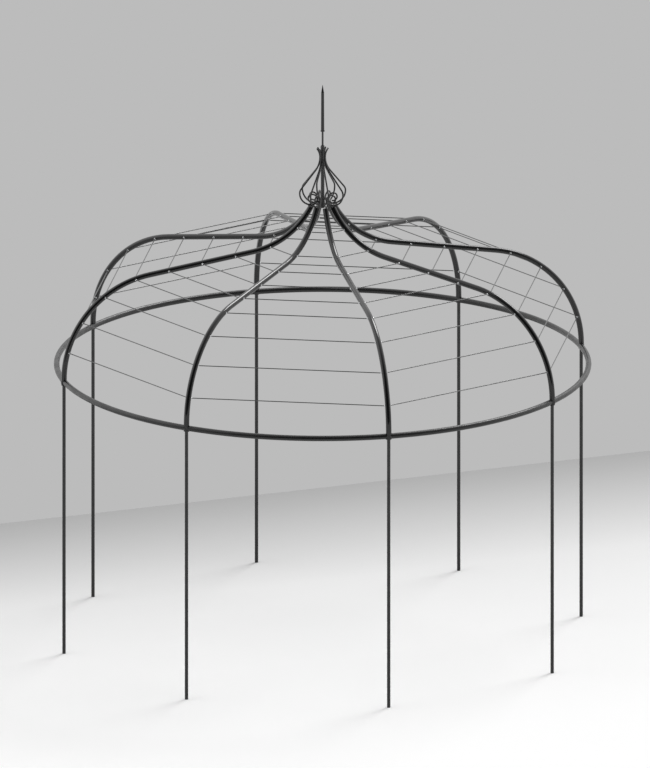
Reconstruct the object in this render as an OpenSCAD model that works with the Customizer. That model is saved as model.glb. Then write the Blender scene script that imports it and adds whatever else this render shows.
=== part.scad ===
// Round garden pavilion: eight slim posts, a ring, eight ogee ribs with taut wires between
// them, and an onion crown of bent rod round a stem with a spear.
// Millimetres, +Z up. It stands on z = 0, its axis is X = Y = 0, and bay 1 faces -Y.

/* [Plan] */
// diameter of the circle that the post centres stand on
post_circle_d = 4000; // [3000:10:5000]
// how far the ring's centre line sits inside that circle
ring_inset = 7; // [0:0.5:20]

/* [Posts and ring] */
// outer diameter of a post
post_d = 26; // [18:0.1:34]
// outer diameter of the ring tube
ring_tube_d = 42.4; // [28:0.1:54]
// height of the ring's centre line above the ground
ring_z = 2115.5; // [1800:0.5:2600]
// how far a rib's foot reaches below the ring tube
rib_below_ring = 1; // [0:0.5:20]

/* [Ribs] */
// outer diameter of a rib tube
rib_tube_d = 42.4; // [34:0.1:54]
// upright length of a rib above the ring's centre line
rib_upright = 22; // [22:0.5:150]
// radius of the shoulder bend, on the centre line
shoulder_r = 779; // [500:5:950]
// turn of the shoulder bend, in degrees
shoulder_turn = 81.3; // [75:0.1:86]
// radius of the bend that sweeps up to the crown
sweep_r = 614; // [400:5:750]
// slope of the rib's top end, in degrees
top_slope = 62.3; // [50:0.1:75]
// distance from the axis to the centre of a rib's top end
top_r = 89; // [70:0.5:150]

/* [Wires] */
// diameter of a wire
wire_d = 7; // [2:0.5:10]
// length along a rib from the ring's centre line to each wire, lowest first
wire_at = [232, 483, 739, 1006, 1265, 1526, 1786, 2063, 2314];

/* [Crown rods] */
// diameter of a crown rod
rod_d = 12.5; // [6:0.5:16]
// distance from the axis to a rod's centre line at the bulge
bulge_r = 177; // [160:1:220]
// radius of the bend above the bulge
bulge_upper_r = 52; // [40:1:100]
// radius of the bend below the bulge
bulge_lower_r = 95; // [85:1:110]
// lean of the straight length over the bulge, in degrees from upright
rod_lean = 39; // [25:1:50]
// radius of the bend below the neck
neck_bend_r = 170; // [80:5:200]
// radius of the flare above the neck
flare_r = 110; // [80:5:300]
// turn of the flare, in degrees
flare_turn = 38; // [10:1:45]
// radius of the scroll's inner side
scroll_in_r = 40; // [34:0.5:46]
// radius of the scroll's closing turn
scroll_out_r = 30; // [22:0.5:33]
// turn of the scroll's closing turn, in degrees
scroll_turn = 200; // [90:5:260]

/* [Stem and spear] */
// diameter of the stem
stem_d = 28; // [16:0.5:40]
// length of the stem below the bulge
stem_below_bulge = 124; // [60:1:180]
// length of the stem above the rod tips
stem_above_tips = 22; // [0:1:60]
// diameter of the thin rod on the stem
finial_d = 15; // [8:0.5:20]
// length of the thin rod
finial_len = 110; // [60:1:250]
// diameter of the collar under the spear
collar_d = 32; // [29:0.5:44]
// height of the collar
collar_h = 7; // [4:0.5:20]
// diameter of the spear above its collar
spear_base_d = 26; // [16:0.5:28]
// diameter of the spear where its point starts
spear_top_d = 23; // [12:0.5:26]
// length of the spear from collar to point
spear_len = 295; // [150:5:400]
// length of the point
point_len = 58; // [30:1:120]
// diameter of the blunt tip
tip_d = 3; // [2:0.5:8]

/* [Fits] */
// clearance between round pieces that seat on one another
seat_gap = 0.3; // [0.2:0.05:0.8]
// how far a weld between two stretches of bent tube stands proud
weld_proud = 0.1; // [0.05:0.05:0.15]
// length of such a weld
weld_len = 1.6; // [1:0.1:4]

/* [Hidden] */
post_count = 8;
step_a = 360 / post_count;
half_a = step_a / 2;
first_a = -90 - half_a;
weld_gap = 0.04;
fn_small = 48;
fn_tube = 64;
fn_arc = 240;

// posts and ring
post_r = post_circle_d / 2;
ring_r = post_r - ring_inset;
rib_foot_z = ring_z - ring_tube_d / 2 - rib_below_ring;

// a rib's centre line, as [distance from the axis, height]
shoulder_z = ring_z + rib_upright;
rib_slope = 90 - shoulder_turn;
shoulder_centre = [post_r - shoulder_r, shoulder_z];
shoulder_end = [post_r - shoulder_r * (1 - cos(shoulder_turn)),
                shoulder_z + shoulder_r * sin(shoulder_turn)];
sweep_start_r = top_r + sweep_r * (sin(top_slope) - sin(rib_slope));
straight_len = (shoulder_end[0] - sweep_start_r) / cos(rib_slope);
sweep_start = [sweep_start_r, shoulder_end[1] + straight_len * sin(rib_slope)];
sweep_centre = sweep_start + sweep_r * [sin(rib_slope), cos(rib_slope)];
rib_top = sweep_centre - sweep_r * [sin(top_slope), cos(top_slope)];

// lengths along a rib from the ring's centre line to the end of each stretch
len_upright = rib_upright;
len_shoulder = len_upright + shoulder_r * shoulder_turn * PI / 180;
len_straight = len_shoulder + straight_len;

// [distance from the axis, height, slope] at length s along a rib
function rib_at(s) =
    s < len_upright ? [post_r, ring_z + s, 90]
    : s < len_shoulder ?
        let (a = (s - len_upright) / shoulder_r * 180 / PI)
        [post_r - shoulder_r * (1 - cos(a)), shoulder_z + shoulder_r * sin(a), 90 - a]
    : s < len_straight ?
        let (t = s - len_shoulder)
        [shoulder_end[0] - t * cos(rib_slope), shoulder_end[1] + t * sin(rib_slope), rib_slope]
    :
        let (a = rib_slope + (s - len_straight) / sweep_r * 180 / PI)
        [sweep_centre[0] - sweep_r * sin(a), sweep_centre[1] - sweep_r * cos(a), a];

// a wire meets its rib at an angle, so its square end stands off far enough to clear the tube
function wire_end(slope) =
    let (along = sin(half_a) * cos(slope), across = sqrt(1 - along * along))
    (rib_tube_d / 2 + seat_gap + wire_d / 2 * along) / across;

// the crown rods rest on the outer edge of the rib tops
rib_top_edge = rib_top + rib_tube_d / 2 * [sin(top_slope), cos(top_slope)];
bulge_centre_r = bulge_r - bulge_lower_r;
seat_dist = bulge_lower_r + rod_d / 2 + seat_gap;
bulge_z = rib_top_edge[1] + sqrt(pow(seat_dist, 2) - pow(rib_top_edge[0] - bulge_centre_r, 2));
scroll_low_z = bulge_z - bulge_lower_r;
neck_r = (stem_d + rod_d) / 2 + seat_gap;
lean_len = (bulge_r - neck_r - (bulge_upper_r + neck_bend_r) * (1 - cos(rod_lean)))
    / sin(rod_lean);
neck_z = bulge_z + (bulge_upper_r + neck_bend_r) * sin(rod_lean) + lean_len * cos(rod_lean);
tips_z = neck_z + flare_r * sin(flare_turn);
stem_low_z = bulge_z - stem_below_bulge;
stem_top_z = tips_z + stem_above_tips;
spear_z = stem_top_z + finial_len;

function names(prefix) = [for (i = [1:post_count]) str(prefix, i)];

/* [View] */
// the piece to draw

// ---- bent tube, in the plane of distance from the axis and height ----

// a bent stretch, cut a hair short at both ends, where a weld closes it to the next stretch
module bend(centre, radius, from, to, d) {
    cut = weld_gap / 2 / radius * 180 / PI;
    translate([centre[0], 0, centre[1]]) rotate([90, 0, 0]) rotate([0, 0, from + cut])
        rotate_extrude(angle = to - from - 2 * cut, $fn = fn_arc)
            translate([radius, 0]) circle(d = d, $fn = fn_tube);
}

module straight(start, lean, length, d)
    translate([start[0], 0, start[1]]) rotate([0, lean, 0]) translate([0, 0, weld_gap / 2])
        cylinder(d = d, h = length - weld_gap, $fn = fn_tube);

// the weld at the end of a bend, which stands a hair proud of the tube
module weld(centre, radius, angle, d)
    translate([centre[0], 0, centre[1]]) rotate([90, 0, 0]) rotate([0, 0, angle])
        translate([radius, 0, 0]) rotate([90, 0, 0])
            cylinder(d = d + 2 * weld_proud, h = weld_len, center = true, $fn = fn_tube);

// ---- pieces ----

module post()
    color("dimgray") translate([post_r, 0, 0]) cylinder(d = post_d, h = rib_foot_z, $fn = fn_small);

module rib() {
    color("slategray") union() {
        translate([post_r, 0, rib_foot_z])
            cylinder(d = rib_tube_d, h = shoulder_z - rib_foot_z - weld_gap / 2, $fn = fn_tube);
        weld(shoulder_centre, shoulder_r, 0, rib_tube_d);
        bend(shoulder_centre, shoulder_r, 0, shoulder_turn, rib_tube_d);
        weld(shoulder_centre, shoulder_r, shoulder_turn, rib_tube_d);
        straight(shoulder_end, -shoulder_turn, straight_len, rib_tube_d);
        weld(sweep_centre, sweep_r, 270 - rib_slope, rib_tube_d);
        bend(sweep_centre, sweep_r, 270 - top_slope, 270 - rib_slope, rib_tube_d);
    }
}

// one length of the ring, shaped at both ends to fit round the ribs
module ring_segment() {
    color("darkgray") difference() {
        rotate([0, 0, -half_a]) translate([0, 0, ring_z])
            rotate_extrude(angle = step_a, $fn = 256)
                translate([ring_r, 0]) circle(d = ring_tube_d, $fn = fn_tube);
        for (side = [-1, 1]) rotate([0, 0, side * half_a])
            translate([post_r, 0, ring_z - ring_tube_d / 2 - 1])
                cylinder(d = rib_tube_d + 2 * seat_gap, h = ring_tube_d + 2, $fn = fn_tube);
    }
}

module bay_wires() {
    color("silver") for (s = wire_at) {
        p = rib_at(s);
        span = 2 * (p[0] * sin(half_a) - wire_end(p[2]));
        translate([p[0] * cos(half_a), 0, p[1]]) rotate([90, 0, 0])
            cylinder(d = wire_d, h = span, center = true, $fn = 24);
    }
}

module crown_rod() {
    neck_outer = [neck_r + neck_bend_r, neck_z];
    bulge_high = [bulge_r - bulge_upper_r, bulge_z];
    bulge_low = [bulge_centre_r, bulge_z];
    scroll_in = [bulge_centre_r, scroll_low_z + scroll_in_r];
    scroll_out = [bulge_centre_r, scroll_low_z + 2 * scroll_in_r - scroll_out_r];
    lean_start = bulge_high + bulge_upper_r * [cos(rod_lean), sin(rod_lean)];
    color("gray") union() {
        bend([neck_r + flare_r, neck_z], flare_r, 180 - flare_turn, 180, rod_d);
        weld(neck_outer, neck_bend_r, 180, rod_d);
        bend(neck_outer, neck_bend_r, 180, 180 + rod_lean, rod_d);
        weld(neck_outer, neck_bend_r, 180 + rod_lean, rod_d);
        straight(lean_start, -rod_lean, lean_len, rod_d);
        weld(bulge_high, bulge_upper_r, rod_lean, rod_d);
        bend(bulge_high, bulge_upper_r, 0, rod_lean, rod_d);
        weld(bulge_high, bulge_upper_r, 0, rod_d);
        bend(bulge_low, bulge_lower_r, -90, 0, rod_d);
        weld(bulge_low, bulge_lower_r, -90, rod_d);
        bend(scroll_in, scroll_in_r, 90, 270, rod_d);
        weld(scroll_in, scroll_in_r, 90, rod_d);
        bend(scroll_out, scroll_out_r, 90 - scroll_turn, 90, rod_d);
    }
}

module crown_stem()
    color("dimgray") translate([0, 0, stem_low_z])
        cylinder(d = stem_d, h = stem_top_z - stem_low_z, $fn = fn_small);

module finial_rod()
    color("gray") translate([0, 0, stem_top_z]) cylinder(d = finial_d, h = finial_len, $fn = fn_small);

module finial_spear()
    color("dimgray") translate([0, 0, spear_z]) union() {
        cylinder(d = collar_d, h = collar_h, $fn = fn_small);
        translate([0, 0, collar_h])
            cylinder(d1 = spear_base_d, d2 = spear_top_d, h = spear_len, $fn = fn_small);
        translate([0, 0, collar_h + spear_len])
            cylinder(d1 = spear_top_d, d2 = tip_d, h = point_len, $fn = fn_small);
    }

// ---- the whole, piece by piece ----

for (i = [1:post_count]) {
    post_a = first_a + (i - 1) * step_a;
    bay_a = post_a + half_a;
    rotate([0, 0, post_a]) post();
    rotate([0, 0, post_a]) rib();
    rotate([0, 0, post_a]) crown_rod();
    rotate([0, 0, bay_a]) ring_segment();
    rotate([0, 0, bay_a]) bay_wires();
}
crown_stem();
finial_rod();
finial_spear();
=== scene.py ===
"""Round garden pavilion: black powder-coated tube, taut wires in zinc-plated bushes, onion crown.

Metres, +Z up, bay 1 to the front (-Y). The frame's own pieces keep their shape and get their
finish here; the bushes, weld beads and tack welds are modelled here.
"""
import math

import bmesh
import bpy
from mathutils import Matrix, Vector


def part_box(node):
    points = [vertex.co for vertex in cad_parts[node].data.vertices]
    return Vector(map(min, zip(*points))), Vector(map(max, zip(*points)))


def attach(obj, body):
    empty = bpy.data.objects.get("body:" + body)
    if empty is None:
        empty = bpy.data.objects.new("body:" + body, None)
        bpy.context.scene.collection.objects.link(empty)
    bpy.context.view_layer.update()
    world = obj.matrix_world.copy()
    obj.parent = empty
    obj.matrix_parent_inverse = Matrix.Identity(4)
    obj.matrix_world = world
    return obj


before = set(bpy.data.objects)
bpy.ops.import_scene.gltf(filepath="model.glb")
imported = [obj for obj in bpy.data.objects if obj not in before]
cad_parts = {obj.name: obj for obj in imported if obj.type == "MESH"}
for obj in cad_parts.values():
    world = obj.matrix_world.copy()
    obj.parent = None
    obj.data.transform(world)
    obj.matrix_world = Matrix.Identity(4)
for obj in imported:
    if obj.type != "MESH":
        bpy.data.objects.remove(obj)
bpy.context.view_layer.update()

scene = bpy.context.scene
scene.view_settings.view_transform = "Standard"

MM = 0.001
BAYS = 8
FIRST_POST = math.radians(-112.5)
STEP = math.radians(45)


# ---- helpers ----

def linear(hex_colour):
    """An sRGB hex colour as linear RGBA."""
    channels = [int(hex_colour[i:i + 2], 16) / 255 for i in (1, 3, 5)]
    return [c / 12.92 if c <= 0.04045 else ((c + 0.055) / 1.055) ** 2.4 for c in channels] + [1.0]


def add(tree, kind, inputs=None, **settings):
    """A new node with its settings; an input is a value, or the output that feeds it."""
    node = tree.nodes.new(kind)
    for name, value in settings.items():
        setattr(node, name, value)
    for name, value in (inputs or {}).items():
        if isinstance(value, bpy.types.NodeSocket):
            tree.links.new(value, node.inputs[name])
        else:
            node.inputs[name].default_value = value
    return node


def new_material(name):
    """An empty node material and its tree."""
    material = bpy.data.materials.new(name)
    material.use_nodes = True
    material.node_tree.nodes.clear()
    return material, material.node_tree


def per_metre(size_mm):
    """The scale of a pattern whose features are that many millimetres apart."""
    return 1000 / size_mm


def between(tree, share, dark, light):
    """A colour that goes from dark to light as the share goes from 0 to 1."""
    tone = add(tree, "ShaderNodeMix", {"Factor": share}, data_type="RGBA")
    tone.inputs[6].default_value = linear(dark)
    tone.inputs[7].default_value = linear(light)
    return tone.outputs[2]


def ramp(tree, share, stops):
    """A colour ramp through the stops, each a position and a linear RGBA colour."""
    node = add(tree, "ShaderNodeValToRGB", {"Fac": share})
    elements = node.color_ramp.elements
    for index, (position, colour) in enumerate(stops):
        element = elements[index] if index < 2 else elements.new(1)
        element.position = position
        element.color = colour
    return node.outputs["Color"]


def radial(angle):
    """The level direction at that angle from +X."""
    return Vector((math.cos(angle), math.sin(angle), 0))


def post_angle(i):
    """The angle of post i, counted from 1."""
    return FIRST_POST + (i - 1) * STEP


# ---- finishes ----

def powder_coat(name, dark, light, rough_low, rough_high, peel):
    """Black polyester powder coat, sprayed and baked on steel tube.

    Satin and near black face on, pale where it is seen at a glancing angle; the coat has a fine
    orange peel, that many millimetres deep and drawn 9 mm wide so that it shows, and handling
    leaves it patchily duller.
    """
    material, tree = new_material(name)
    place = add(tree, "ShaderNodeTexCoord").outputs["Object"]
    cloud = add(tree, "ShaderNodeTexNoise", {
        "Vector": place, "Scale": per_metre(160), "Detail": 3.0})
    handled = add(tree, "ShaderNodeTexNoise", {
        "Vector": place, "Scale": per_metre(70), "Detail": 4.0})
    dullness = add(tree, "ShaderNodeMapRange", {
        "Value": handled.outputs["Fac"], "From Min": 0.35, "From Max": 0.65,
        "To Min": rough_low, "To Max": rough_high})
    orange_peel = add(tree, "ShaderNodeTexNoise", {
        "Vector": place, "Scale": per_metre(9), "Detail": 1.0})
    skin = add(tree, "ShaderNodeBump", {
        "Height": orange_peel.outputs["Fac"], "Strength": 0.6, "Distance": peel * MM})
    coat = add(tree, "ShaderNodeBsdfPrincipled", {
        "Base Color": between(tree, cloud.outputs["Fac"], dark, light),
        "Roughness": dullness.outputs["Result"], "Normal": skin.outputs["Normal"], "IOR": 1.5})
    add(tree, "ShaderNodeOutputMaterial", {"Surface": coat.outputs["BSDF"]})
    return material


def oxide_wire_rope():
    """Black-oxide steel wire rope: dark face on, bright along its length, ridged by its strands."""
    material, tree = new_material("black_oxide_wire_rope")
    place = add(tree, "ShaderNodeTexCoord").outputs["Object"]
    # strands lie 2.5 mm apart, drawn 5 mm apart so that they show
    strands = add(tree, "ShaderNodeTexWave", {
        "Vector": place, "Scale": per_metre(5) / (2 * math.pi), "Distortion": 0.6},
        wave_type="BANDS", bands_direction="DIAGONAL")
    twist = add(tree, "ShaderNodeBump", {
        "Height": strands.outputs["Fac"], "Strength": 0.1, "Distance": 0.05 * MM})
    weather = add(tree, "ShaderNodeTexNoise", {
        "Vector": place, "Scale": per_metre(120), "Detail": 2.0})
    dullness = add(tree, "ShaderNodeMapRange", {
        "Value": weather.outputs["Fac"], "To Min": 0.16, "To Max": 0.28})
    coat = add(tree, "ShaderNodeBsdfPrincipled", {
        "Base Color": between(tree, weather.outputs["Fac"], "#161718", "#232424"),
        "Roughness": dullness.outputs["Result"], "Normal": twist.outputs["Normal"], "IOR": 1.7})
    add(tree, "ShaderNodeOutputMaterial", {"Surface": coat.outputs["BSDF"]})
    return material


def bright_zinc():
    """Zinc-plated turned steel: pale, bright, slightly clouded and finely pitted."""
    material, tree = new_material("bright_zinc_plate")
    place = add(tree, "ShaderNodeTexCoord").outputs["Object"]
    cloud = add(tree, "ShaderNodeTexNoise", {"Vector": place, "Scale": per_metre(4), "Detail": 3.0})
    dullness = add(tree, "ShaderNodeMapRange", {
        "Value": cloud.outputs["Fac"], "To Min": 0.28, "To Max": 0.45})
    pits = add(tree, "ShaderNodeBump", {
        "Height": cloud.outputs["Fac"], "Strength": 0.3, "Distance": 0.05 * MM})
    plate = add(tree, "ShaderNodeBsdfPrincipled", {
        "Base Color": between(tree, cloud.outputs["Fac"], "#b4b6b8", "#dcdddd"),
        "Roughness": dullness.outputs["Result"], "Normal": pits.outputs["Normal"],
        "Metallic": 1.0})
    add(tree, "ShaderNodeOutputMaterial", {"Surface": plate.outputs["BSDF"]})
    return material


# name, dark and light tone, least and most roughness, depth of the orange peel in mm
post_coat = powder_coat("black_powder_coat_posts", "#080809", "#1d1e1e", 0.16, 0.38, peel=0.015)
rib_coat = powder_coat("black_powder_coat_ribs", "#060607", "#0d0e0e", 0.06, 0.15, peel=0.02)
ring_coat = powder_coat("black_powder_coat_ring", "#060607", "#0f1010", 0.30, 0.42, peel=0.02)
# painted sheen: the crown is the same black powder coat as the ribs, given a lighter tone that
# stands in for the grey reflection along its thin rods
crown_coat_painted_sheen = powder_coat("black_powder_coat_crown_painted_sheen", "#171718", "#2c2d2d", 0.14, 0.26, peel=0.01)
wire_coat = oxide_wire_rope()
zinc = bright_zinc()

# by the name of the piece without its number
finishes = {"post": post_coat, "rib": rib_coat, "ring_segment": ring_coat, "bay_wires": wire_coat,
            "crown_rod": crown_coat_painted_sheen, "crown_stem": crown_coat_painted_sheen, "finial_rod": crown_coat_painted_sheen,
            "finial_spear": rib_coat}
for name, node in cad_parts.items():
    finish = finishes[name.rstrip("_12345678")]
    if not node.material_slots:
        node.data.materials.append(finish)
    for material_slot in node.material_slots:
        material_slot.material = finish


# ---- pieces that the frame doesn't have ----

SAME_PLACE = 0.02 * MM      # vertices nearer than this are one
WIRE_ROW_GAP = 6 * MM       # a wider step in height between vertices is the next wire up
WIRE_TIP = 0.5 * MM         # the length of wire that counts as its end face


def put_in_order(mesh):
    """The same mesh with its faces in a fixed order, because a spin leaves them in any order."""
    mesh.verts.index_update()
    rings = sorted([vert.index for vert in face.verts] for face in mesh.faces)
    points = [vert.co.copy() for vert in mesh.verts]
    mesh.clear()
    verts = [mesh.verts.new(point) for point in points]
    for ring in rings:
        mesh.faces.new([verts[k] for k in ring])
    mesh.normal_update()


def finish_piece(name, mesh, finish, smooth_degrees=40):
    """The bmesh as one object at the origin, riding on the frame."""
    bmesh.ops.remove_doubles(mesh, verts=mesh.verts, dist=SAME_PLACE)
    bmesh.ops.recalc_face_normals(mesh, faces=mesh.faces)
    put_in_order(mesh)
    sharp = math.radians(smooth_degrees)
    for edge in mesh.edges:
        edge.smooth = len(edge.link_faces) == 2 and edge.calc_face_angle() < sharp
    for face in mesh.faces:
        face.smooth = True
    data = bpy.data.meshes.new(name)
    mesh.to_mesh(data)
    mesh.free()
    data.materials.append(finish)
    piece = bpy.data.objects.new(name, data)
    scene.collection.objects.link(piece)
    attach(piece, "root")
    return piece


def spun(mesh, verts, edges, steps, matrix):
    """The section swept once round Z, then put in place."""
    bmesh.ops.spin(mesh, geom=verts + edges, cent=(0, 0, 0), axis=(0, 0, 1),
                   angle=2 * math.pi, steps=steps, use_merge=True)
    moved = set(verts)
    for face in mesh.faces:
        if not face.tag:
            moved.update(face.verts)
            face.tag = True
    bmesh.ops.transform(mesh, matrix=matrix, verts=list(moved))


def turned(mesh, profile, matrix, steps):
    """A turned solid: the profile is (radius, height) from axis to axis, and Z is its axis."""
    points = [mesh.verts.new((radius, 0, height)) for radius, height in profile]
    edges = [mesh.edges.new(pair) for pair in zip(points, points[1:])]
    spun(mesh, points, edges, steps, matrix)


def bead(mesh, radius, thickness, matrix, steps=40, sides=8):
    """A run of weld: a ring of round section about Z, then put in place."""
    section = bmesh.ops.create_circle(
        mesh, segments=sides, radius=thickness,
        matrix=Matrix.Translation((radius, 0, 0)) @ Matrix.Rotation(math.pi / 2, 4, "X"))["verts"]
    edges = list(dict.fromkeys(edge for vert in section for edge in vert.link_edges))
    spun(mesh, section, edges, steps, matrix)


def wire_ends(node):
    """[(end point, direction towards the middle of the wire)] for every level wire of a bay."""
    points = sorted((vert.co.copy() for vert in node.data.vertices), key=lambda p: p.z)
    wires, current = [], [points[0]]
    for point in points[1:]:
        if point.z - current[-1].z > WIRE_ROW_GAP:
            wires.append(current)
            current = []
        current.append(point)
    wires.append(current)
    ends = []
    middle = sum(points, Vector()) / len(points)
    along = Vector((-middle.y, middle.x, 0)).normalized()
    for wire in wires:
        reach = [point.dot(along) for point in wire]
        for sign in (-1, 1):
            limit = max(sign * r for r in reach)
            tip = [p for p, r in zip(wire, reach) if sign * r > limit - WIRE_TIP]
            low = Vector([min(p[k] for p in tip) for k in range(3)])
            high = Vector([max(p[k] for p in tip) for k in range(3)])
            ends.append(((low + high) / 2, -sign * along))
    return ends


# a flanged bush on the rib, with the crimped sleeve that grips the wire: (radius, height) in mm
BUSH = [(0, -6), (7.5, -6), (7.5, -0.6), (6.6, 0.4), (5.2, 0.6), (5.2, 4), (4.4, 5), (0, 5)]
BUSH_SIDES = 10
for i in range(1, BAYS + 1):
    bushes = bmesh.new()
    for place, towards in wire_ends(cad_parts[f"bay_wires_{i}"]):
        stand = Matrix.Translation(place) @ towards.to_track_quat("Z", "Y").to_matrix().to_4x4()
        turned(bushes, [(radius * MM, height * MM) for radius, height in BUSH], stand, BUSH_SIDES)
    finish_piece(f"wire_bushes_{i}", bushes, zinc)

# the ring is coped to each rib and welded all round: the joint of two equal tubes is two
# slanting ovals that cross; the post is welded all round under the foot of the rib
RING_BEAD = 1.6 * MM
RING_BEAD_PROUD = 0.2 * MM
FOOT_BEAD = 2.0 * MM
FOOT_BEAD_PROUD = 0.8 * MM
ring_low, ring_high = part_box("ring_segment_1")
tube_r = (ring_high.z - ring_low.z) / 2
ring_z = (ring_high.z + ring_low.z) / 2
post_low, post_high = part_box("post_1")
rib_foot_z = post_high.z
post_centre = (post_low + post_high) / 2
post_circle = Vector((post_centre.x, post_centre.y)).length
post_r = (post_high.x - post_low.x) / 2
welds = bmesh.new()
for i in range(1, BAYS + 1):
    angle = post_angle(i)
    at_ring = Matrix.Translation(radial(angle) * post_circle + Vector((0, 0, ring_z)))
    across = Matrix.Rotation(angle + math.pi / 2, 4, "Z")
    for slant in (1, -1):
        lean = Matrix.Identity(4)
        lean[2][0] = slant
        bead(welds, tube_r + RING_BEAD_PROUD, RING_BEAD, at_ring @ across @ lean)
    at_foot = Matrix.Translation(radial(angle) * post_circle + Vector((0, 0, rib_foot_z)))
    bead(welds, post_r + FOOT_BEAD_PROUD, FOOT_BEAD, at_foot, steps=32)
finish_piece("tube_welds", welds, ring_coat, smooth_degrees=80)

# each crown rod is tacked to its rib's top edge and to the stem at the neck
RIB_TACK = 6 * MM
NECK_TACK = 4.5 * MM
SCROLL_CLEAR = 0.1          # the neck is looked for above the scroll, from this far over the rib
tacks = bmesh.new()
for i in range(1, BAYS + 1):
    outward = radial(post_angle(i))
    rib, rod = (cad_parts[f"{kind}_{i}"].data.vertices for kind in ("rib", "crown_rod"))
    rib_top = max((vert.co for vert in rib), key=lambda p: p.z)
    neck = min((vert.co for vert in rod if vert.co.z > rib_top.z + SCROLL_CLEAR),
               key=lambda p: p.dot(outward))
    for point, radius in ((rib_top, RIB_TACK), (neck, NECK_TACK)):
        spot = outward * point.dot(outward) + Vector((0, 0, point.z))
        bmesh.ops.create_icosphere(tacks, subdivisions=2, radius=radius,
                                   matrix=Matrix.Translation(spot))
finish_piece("crown_tacks", tacks, crown_coat_painted_sheen, smooth_degrees=80)


# ---- stage, camera and light ----

# the wall stands square to this direction, that many metres behind the stem
WALL_FACES = Vector((0.5, -0.866, 0)).normalized()
WALL_BACK = 3.65
FLOOR_HALF = 24             # half the floor's width
UNDERSIDE_Z = -0.6
# the floor's painted shade at so many metres from the wall: grey at the foot of the wall, where
# shade falls, and white to the front
FLOOR_PAINTED_SHADES = [(0, "#b0b0b0"), (0.35, "#b9b9b9"), (0.85, "#c7c7c7"), (1.35, "#d4d4d4"),
                (1.85, "#e1e1e1"), (2.3, "#ececec"), (2.8, "#f1f1f1"), (3.5, "#f6f6f6"),
                (4.4, "#fafafa"), (6.3, "#ffffff")]
FLOOR_PAINTED_SHADE_SPAN = 8            # metres of floor that the shades are spread over
FLOOR_LIFT = 0.05           # the floor glows this much to the camera, so that its front is white


def studio_floor(name, height):
    """A wide floor that ends at the foot of the wall."""
    mesh = bmesh.new()
    bmesh.ops.create_grid(mesh, x_segments=1, y_segments=1, size=FLOOR_HALF)
    bmesh.ops.bisect_plane(mesh, geom=mesh.verts[:] + mesh.edges[:] + mesh.faces[:],
                           plane_co=-WALL_FACES * WALL_BACK, plane_no=-WALL_FACES, clear_outer=True)
    bmesh.ops.translate(mesh, verts=mesh.verts, vec=(0, 0, height))
    data = bpy.data.meshes.new(name)
    mesh.to_mesh(data)
    mesh.free()
    floor = bpy.data.objects.new(name, data)
    scene.collection.objects.link(floor)
    return floor


def white_floor():
    """Matt white studio floor with painted shade: grey along the wall and white to the front."""
    material, tree = new_material("matt_white_floor_painted_shade")
    place = add(tree, "ShaderNodeTexCoord").outputs["Object"]
    from_stem = add(tree, "ShaderNodeVectorMath", {0: place, 1: WALL_FACES},
                    operation="DOT_PRODUCT")
    share = add(tree, "ShaderNodeMapRange", {
        "Value": from_stem.outputs["Value"], "From Min": -WALL_BACK,
        "From Max": FLOOR_PAINTED_SHADE_SPAN - WALL_BACK})
    # painted shade: the floor's colour darkens towards the wall, and its glow to the camera carries
    # the same painted shade
    shade = ramp(tree, share.outputs["Result"],
                 [(metres / FLOOR_PAINTED_SHADE_SPAN, linear(colour)) for metres, colour in FLOOR_PAINTED_SHADES])
    paint = add(tree, "ShaderNodeBsdfDiffuse", {"Color": shade})
    rays = add(tree, "ShaderNodeLightPath")
    lift = add(tree, "ShaderNodeMath", {0: rays.outputs["Is Camera Ray"], 1: FLOOR_LIFT},
               operation="MULTIPLY")
    glow = add(tree, "ShaderNodeEmission", {"Color": shade, "Strength": lift.outputs["Value"]})
    both = add(tree, "ShaderNodeAddShader", {0: paint.outputs["BSDF"], 1: glow.outputs["Emission"]})
    add(tree, "ShaderNodeOutputMaterial", {"Surface": both.outputs["Shader"]})
    return material


def floor_underside():
    """Plain white below the floor, seen only where a very low view looks in under it."""
    material, tree = new_material("matt_white_underside")
    glow = add(tree, "ShaderNodeEmission", {"Color": linear("#ffffff"), "Strength": 1.0})
    add(tree, "ShaderNodeOutputMaterial", {"Surface": glow.outputs["Emission"]})
    return material


studio_floor("studio_floor", 0.0).data.materials.append(white_floor())
studio_floor("studio_floor_underside", UNDERSIDE_Z).data.materials.append(floor_underside())

# a camera without perspective, held upright, which looks at a point near the stem
PICTURE_HEIGHT = 5.755
AIM_HEIGHT = 1.958
AIM_RIGHT = 0.018
CAMERA_DISTANCE = 12
azimuth, elevation = math.radians(8.16), math.radians(16.3)
towards_camera = Vector((math.sin(azimuth) * math.cos(elevation),
                         -math.cos(azimuth) * math.cos(elevation), math.sin(elevation)))
image_right = Vector((math.cos(azimuth), math.sin(azimuth), 0))
camera = bpy.data.objects.new("camera", bpy.data.cameras.new("camera"))
scene.collection.objects.link(camera)
camera.data.type = "ORTHO"
camera.data.ortho_scale = PICTURE_HEIGHT
camera.location = (Vector((0, 0, AIM_HEIGHT)) + image_right * AIM_RIGHT
                   + towards_camera * CAMERA_DISTANCE)
camera.rotation_euler = (-towards_camera).to_track_quat("-Z", "Y").to_euler()
camera.data.clip_end = 100
scene.camera = camera


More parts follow.
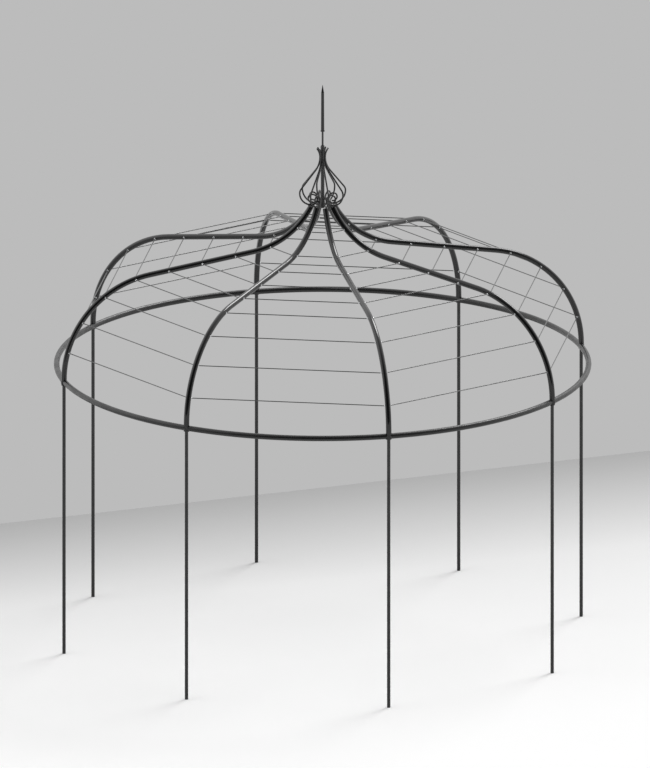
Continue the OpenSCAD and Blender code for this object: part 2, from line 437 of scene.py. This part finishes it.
def sun(name, azimuth_degrees, elevation_degrees, spread_degrees, strength):
    """A wide soft lamp in that direction, counted from +X."""
    lamp = bpy.data.objects.new(name, bpy.data.lights.new(name, "SUN"))
    lamp.data.energy = strength
    lamp.data.angle = math.radians(spread_degrees)
    tilt = math.radians(elevation_degrees)
    source = radial(math.radians(azimuth_degrees)) * math.cos(tilt) + Vector((0, 0, math.sin(tilt)))
    lamp.rotation_euler = source.to_track_quat("Z", "Y").to_euler()
    lamp.location = source * 8
    scene.collection.objects.link(lamp)


# name, azimuth, elevation and spread in degrees, strength
sun("key_light", 61, 50, 24, 1.5)
sun("fill_light", -160, 40, 60, 0.45)

# what the gloss sees: the grey wall behind, bright screens to both sides and above, and the dark
# open end of the studio to the front; each is (0 behind to 1 in front, brightness)
STUDIO_FRONT = Vector((0.136, -0.95, 0.281)).normalized()
SCREENS = [(0, 0.40), (0.075, 0.60), (0.14, 0.85), (0.295, 1.0), (0.535, 0.82), (0.765, 0.36),
           (0.90, 0.08), (1, 0.02)]

world = bpy.data.worlds.new("grey_studio")
scene.world = world
world.use_nodes = True
tree = world.node_tree
tree.nodes.clear()
rays = add(tree, "ShaderNodeLightPath")
soft_light = add(tree, "ShaderNodeBackground", {"Color": linear("#ffffff"), "Strength": 0.50})
direction = add(tree, "ShaderNodeTexCoord").outputs["Generated"]
to_front = add(tree, "ShaderNodeVectorMath", {0: direction, 1: STUDIO_FRONT},
               operation="DOT_PRODUCT")
share = add(tree, "ShaderNodeMapRange", {"Value": to_front.outputs["Value"], "From Min": -1.0})
screens = ramp(tree, share.outputs["Result"],
               [(position, (level, level, level, 1)) for position, level in SCREENS])
studio = add(tree, "ShaderNodeBackground", {"Color": screens, "Strength": 1.5})
lit = add(tree, "ShaderNodeMixShader", {
    0: rays.outputs["Is Glossy Ray"], 1: soft_light.outputs["Background"],
    2: studio.outputs["Background"]})

# the camera sees the plain grey wall
sees_wall = add(tree, "ShaderNodeMath", {
    0: rays.outputs["Is Camera Ray"], 1: rays.outputs["Is Transmission Ray"]}, operation="MAXIMUM")
wall = add(tree, "ShaderNodeBackground", {"Color": linear("#bcbcbc"), "Strength": 1.0})
either = add(tree, "ShaderNodeMixShader", {
    0: sees_wall.outputs["Value"], 1: lit.outputs["Shader"], 2: wall.outputs["Background"]})
add(tree, "ShaderNodeOutputWorld", {"Surface": either.outputs["Shader"]})
